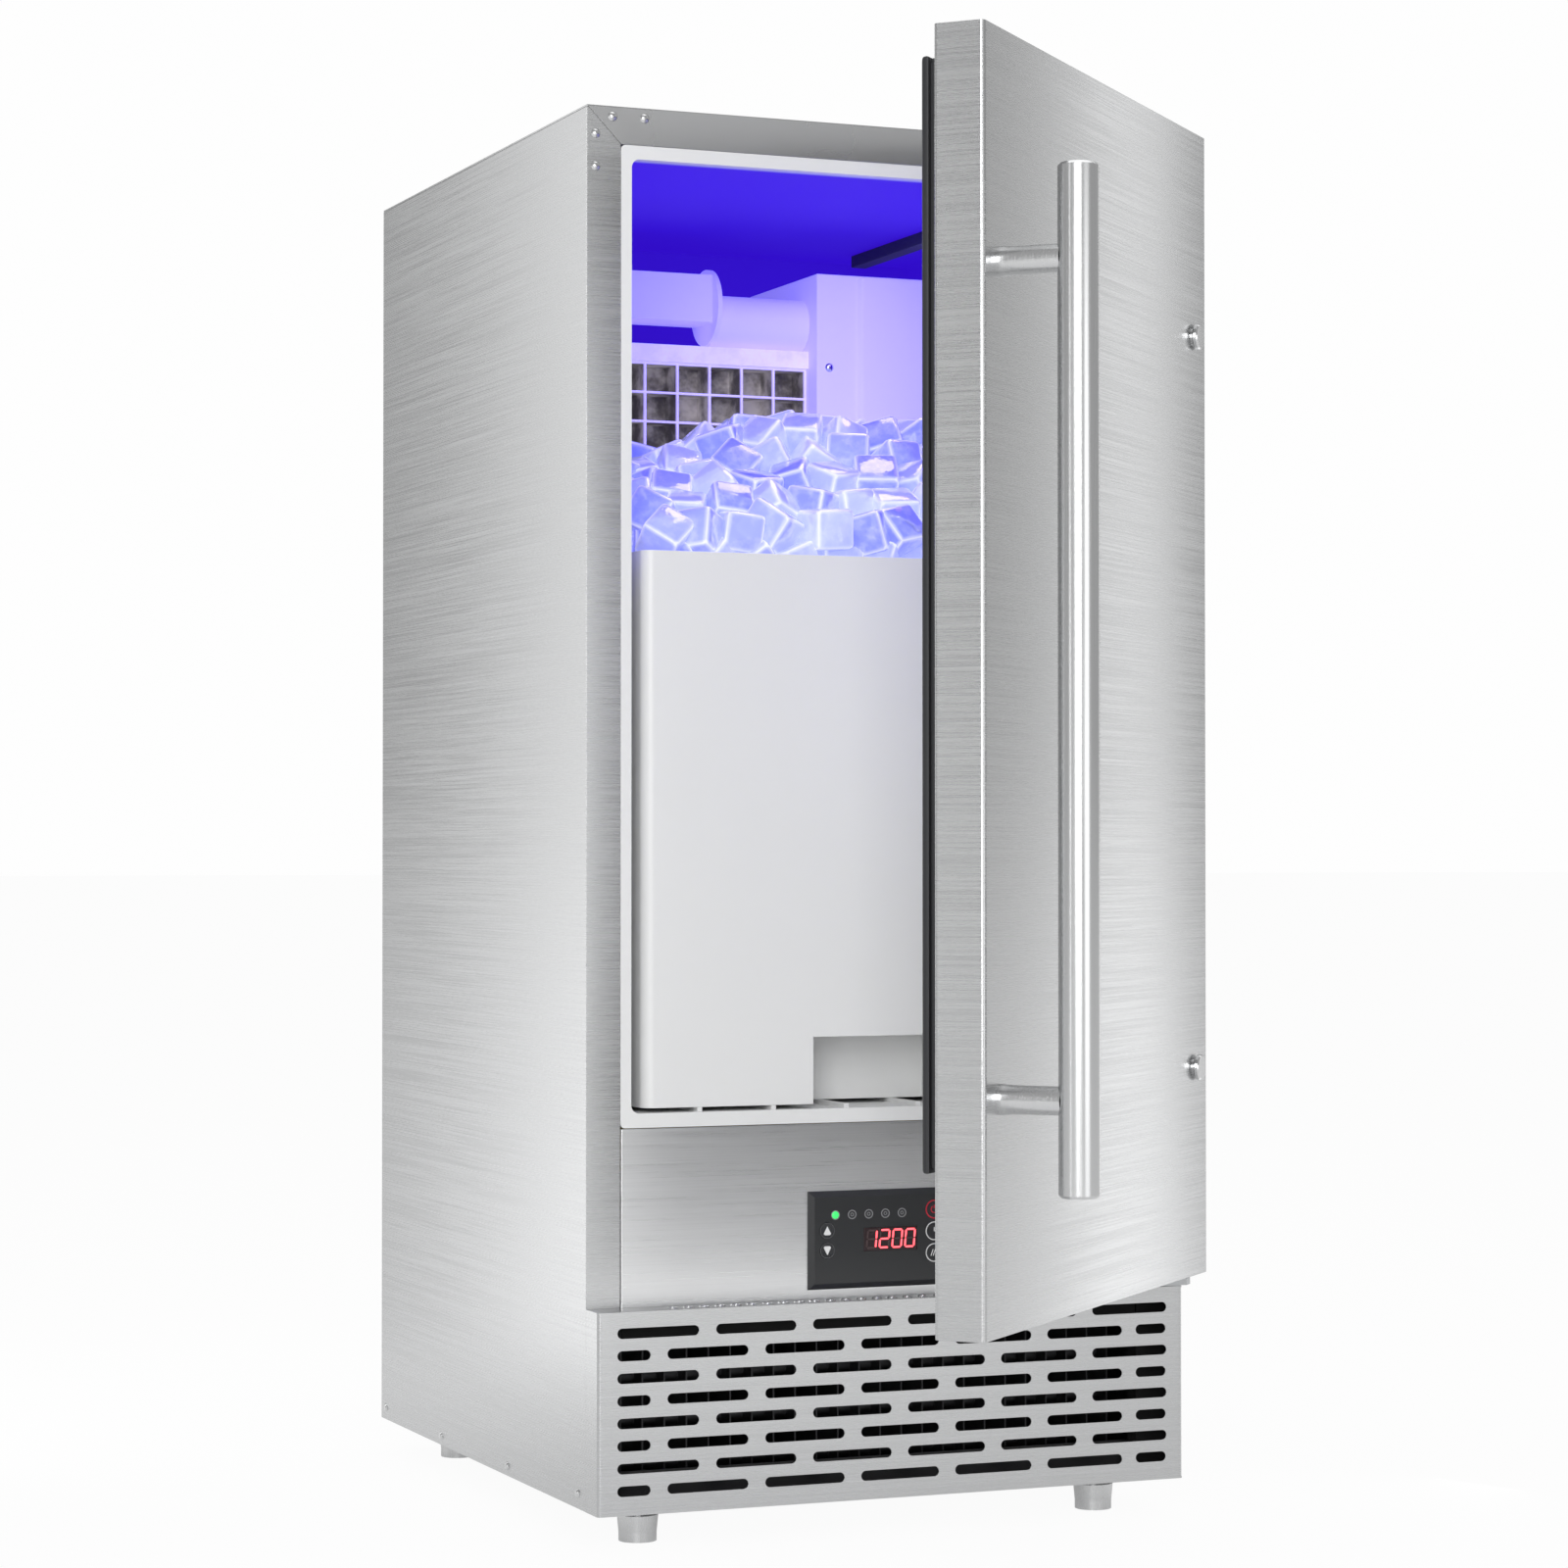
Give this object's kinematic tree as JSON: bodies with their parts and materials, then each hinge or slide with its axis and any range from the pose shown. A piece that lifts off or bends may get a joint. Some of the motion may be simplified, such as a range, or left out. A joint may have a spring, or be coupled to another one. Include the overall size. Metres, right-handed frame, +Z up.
{
  "type": "ice maker",
  "caption": "Under-counter ice maker with a brushed steel cabinet, swinging front door with bar handle, removable ice bin, control panel and slotted kick grille.",
  "frame": {"origin": "centre of the four levelling feet, on the floor that they stand on", "axes": "+Z up, +X to the right of a person facing the door, +Y towards the back; the door stands 43.82 degrees open at rest"},
  "size_m": [0.3919, 0.7594, 0.8435],
  "materials": {
    "brushed_steel": "satin",
    "galvanised": "satin",
    "liner_plastic": "satin",
    "insulation": "matte",
    "polished_steel": "polished",
    "dark_plastic": "matte",
    "gasket_rubber": "matte",
    "handle_steel": "satin",
    "bush_plastic": "satin",
    "bin_plastic": "satin",
    "nickel_plate": "satin",
    "copper_tube": "satin",
    "float_plastic": "satin",
    "lamp_glow": "satin",
    "clear_tube": "gloss",
    "black_paint": "satin",
    "condenser_fins": "matte",
    "bezel_gloss": "satin",
    "display_smoke": "gloss",
    "lamp_caps": "satin",
    "board_green": "satin",
    "key_gloss": "satin",
    "foot_steel": "satin",
    "ice": "gloss"
  },
  "bodies": {
    "cabinet": {"side_panel_left": "brushed_steel", "side_panel_right": "brushed_steel", "top_panel": "brushed_steel", "rear_panel": "galvanised", "base_pan": "galvanised", "lower_front_panel": "brushed_steel", "kick_grille": "brushed_steel", "inner_liner": "liner_plastic", "foam_insulation": "insulation", "frame_plugs": "polished_steel", "cabinet_screws": "polished_steel", "hinge_top": "galvanised", "hinge_bottom": "galvanised", "evaporator_grid": "nickel_plate", "evaporator_coil": "copper_tube", "water_distributor": "bin_plastic", "pump_cover": "bin_plastic", "water_trough": "bin_plastic", "water_pump": "dark_plastic", "float_switch": "dark_plastic", "bin_sensor": "dark_plastic", "lamp_lens": "lamp_glow", "ceiling_duct": "dark_plastic", "riser_tube": "clear_tube", "compressor": "black_paint", "compressor_grommets": "gasket_rubber", "condenser": "condenser_fins", "fan_shroud": "galvanised", "fan_motor": "black_paint", "filter_drier": "copper_tube", "refrigerant_pipes": "copper_tube", "inlet_valve": "bush_plastic", "drain_spigot": "dark_plastic", "power_inlet": "dark_plastic", "control_bezel": "bezel_gloss", "display_window": "display_smoke", "indicator_lamps": "lamp_caps", "control_board": "board_green"},
    "door": {"door_skin": "brushed_steel", "door_liner": "liner_plastic", "door_foam": "insulation", "door_caps": "dark_plastic", "door_gasket": "gasket_rubber", "handle_bar": "handle_steel", "handle_posts": "handle_steel", "blanking_studs": "polished_steel", "hinge_bushes": "bush_plastic"},
    "bin": {"ice_bin": "bin_plastic"},
    "fan": {"fan_blade": "dark_plastic"},
    "impeller": {"pump_impeller": "bush_plastic"},
    "level_float": {"float_ring": "float_plastic"},
    "key_up": {"key_up": "key_gloss"},
    "key_down": {"key_down": "key_gloss"},
    "key_power": {"key_power": "key_gloss"},
    "key_timer": {"key_timer": "key_gloss"},
    "key_clean": {"key_clean": "key_gloss"},
    "foot_front_left": {"foot_front_left": "foot_steel"},
    "foot_front_right": {"foot_front_right": "foot_steel"},
    "foot_rear_left": {"foot_rear_left": "foot_steel"},
    "foot_rear_right": {"foot_rear_right": "foot_steel"}
  },
  "joints": [
    {"name": "door_swing", "type": "hinge", "parent": "cabinet", "child": "door", "pos_m": [0.1834, -0.2176, 0.4], "axis": [0, 0, 1], "range_deg": [-43.82, 71.18]},
    {"name": "bin_raise", "type": "slide", "parent": "cabinet", "child": "bin", "axis": [0, 0, 1], "range_m": [0, 0.012]},
    {"name": "fan_spin", "type": "hinge", "parent": "cabinet", "child": "fan", "pos_m": [-0.07, -0.1035, 0.084], "axis": [0, 1, 0], "continuous": true},
    {"name": "impeller_spin", "type": "hinge", "parent": "cabinet", "child": "impeller", "pos_m": [0.11, 0.0795, 0.51], "axis": [0, 0, 1], "continuous": true},
    {"name": "float_rise", "type": "slide", "parent": "cabinet", "child": "level_float", "axis": [0, 0, 1], "range_m": [0, 0.012]},
    {"name": "key_up_press", "type": "slide", "parent": "cabinet", "child": "key_up", "axis": [0, 1, 0], "range_m": [0, 0.0008], "stiffness_N_per_m": 900, "springref_m": -0.0004},
    {"name": "key_down_press", "type": "slide", "parent": "cabinet", "child": "key_down", "axis": [0, 1, 0], "range_m": [0, 0.0008], "stiffness_N_per_m": 900, "springref_m": -0.0004},
    {"name": "key_power_press", "type": "slide", "parent": "cabinet", "child": "key_power", "axis": [0, 1, 0], "range_m": [0, 0.0008], "stiffness_N_per_m": 900, "springref_m": -0.0004},
    {"name": "key_timer_press", "type": "slide", "parent": "cabinet", "child": "key_timer", "axis": [0, 1, 0], "range_m": [0, 0.0008], "stiffness_N_per_m": 900, "springref_m": -0.0004},
    {"name": "key_clean_press", "type": "slide", "parent": "cabinet", "child": "key_clean", "axis": [0, 1, 0], "range_m": [0, 0.0008], "stiffness_N_per_m": 900, "springref_m": -0.0004},
    {"name": "foot_front_left_turn", "type": "hinge", "parent": "cabinet", "child": "foot_front_left", "pos_m": [-0.15, -0.174, 0], "axis": [0, 0, 1], "continuous": true},
    {"name": "foot_front_right_turn", "type": "hinge", "parent": "cabinet", "child": "foot_front_right", "pos_m": [0.15, -0.174, 0], "axis": [0, 0, 1], "continuous": true},
    {"name": "foot_rear_left_turn", "type": "hinge", "parent": "cabinet", "child": "foot_rear_left", "pos_m": [-0.15, 0.174, 0], "axis": [0, 0, 1], "continuous": true},
    {"name": "foot_rear_right_turn", "type": "hinge", "parent": "cabinet", "child": "foot_rear_right", "pos_m": [0.15, 0.174, 0], "axis": [0, 0, 1], "continuous": true}
  ]
}
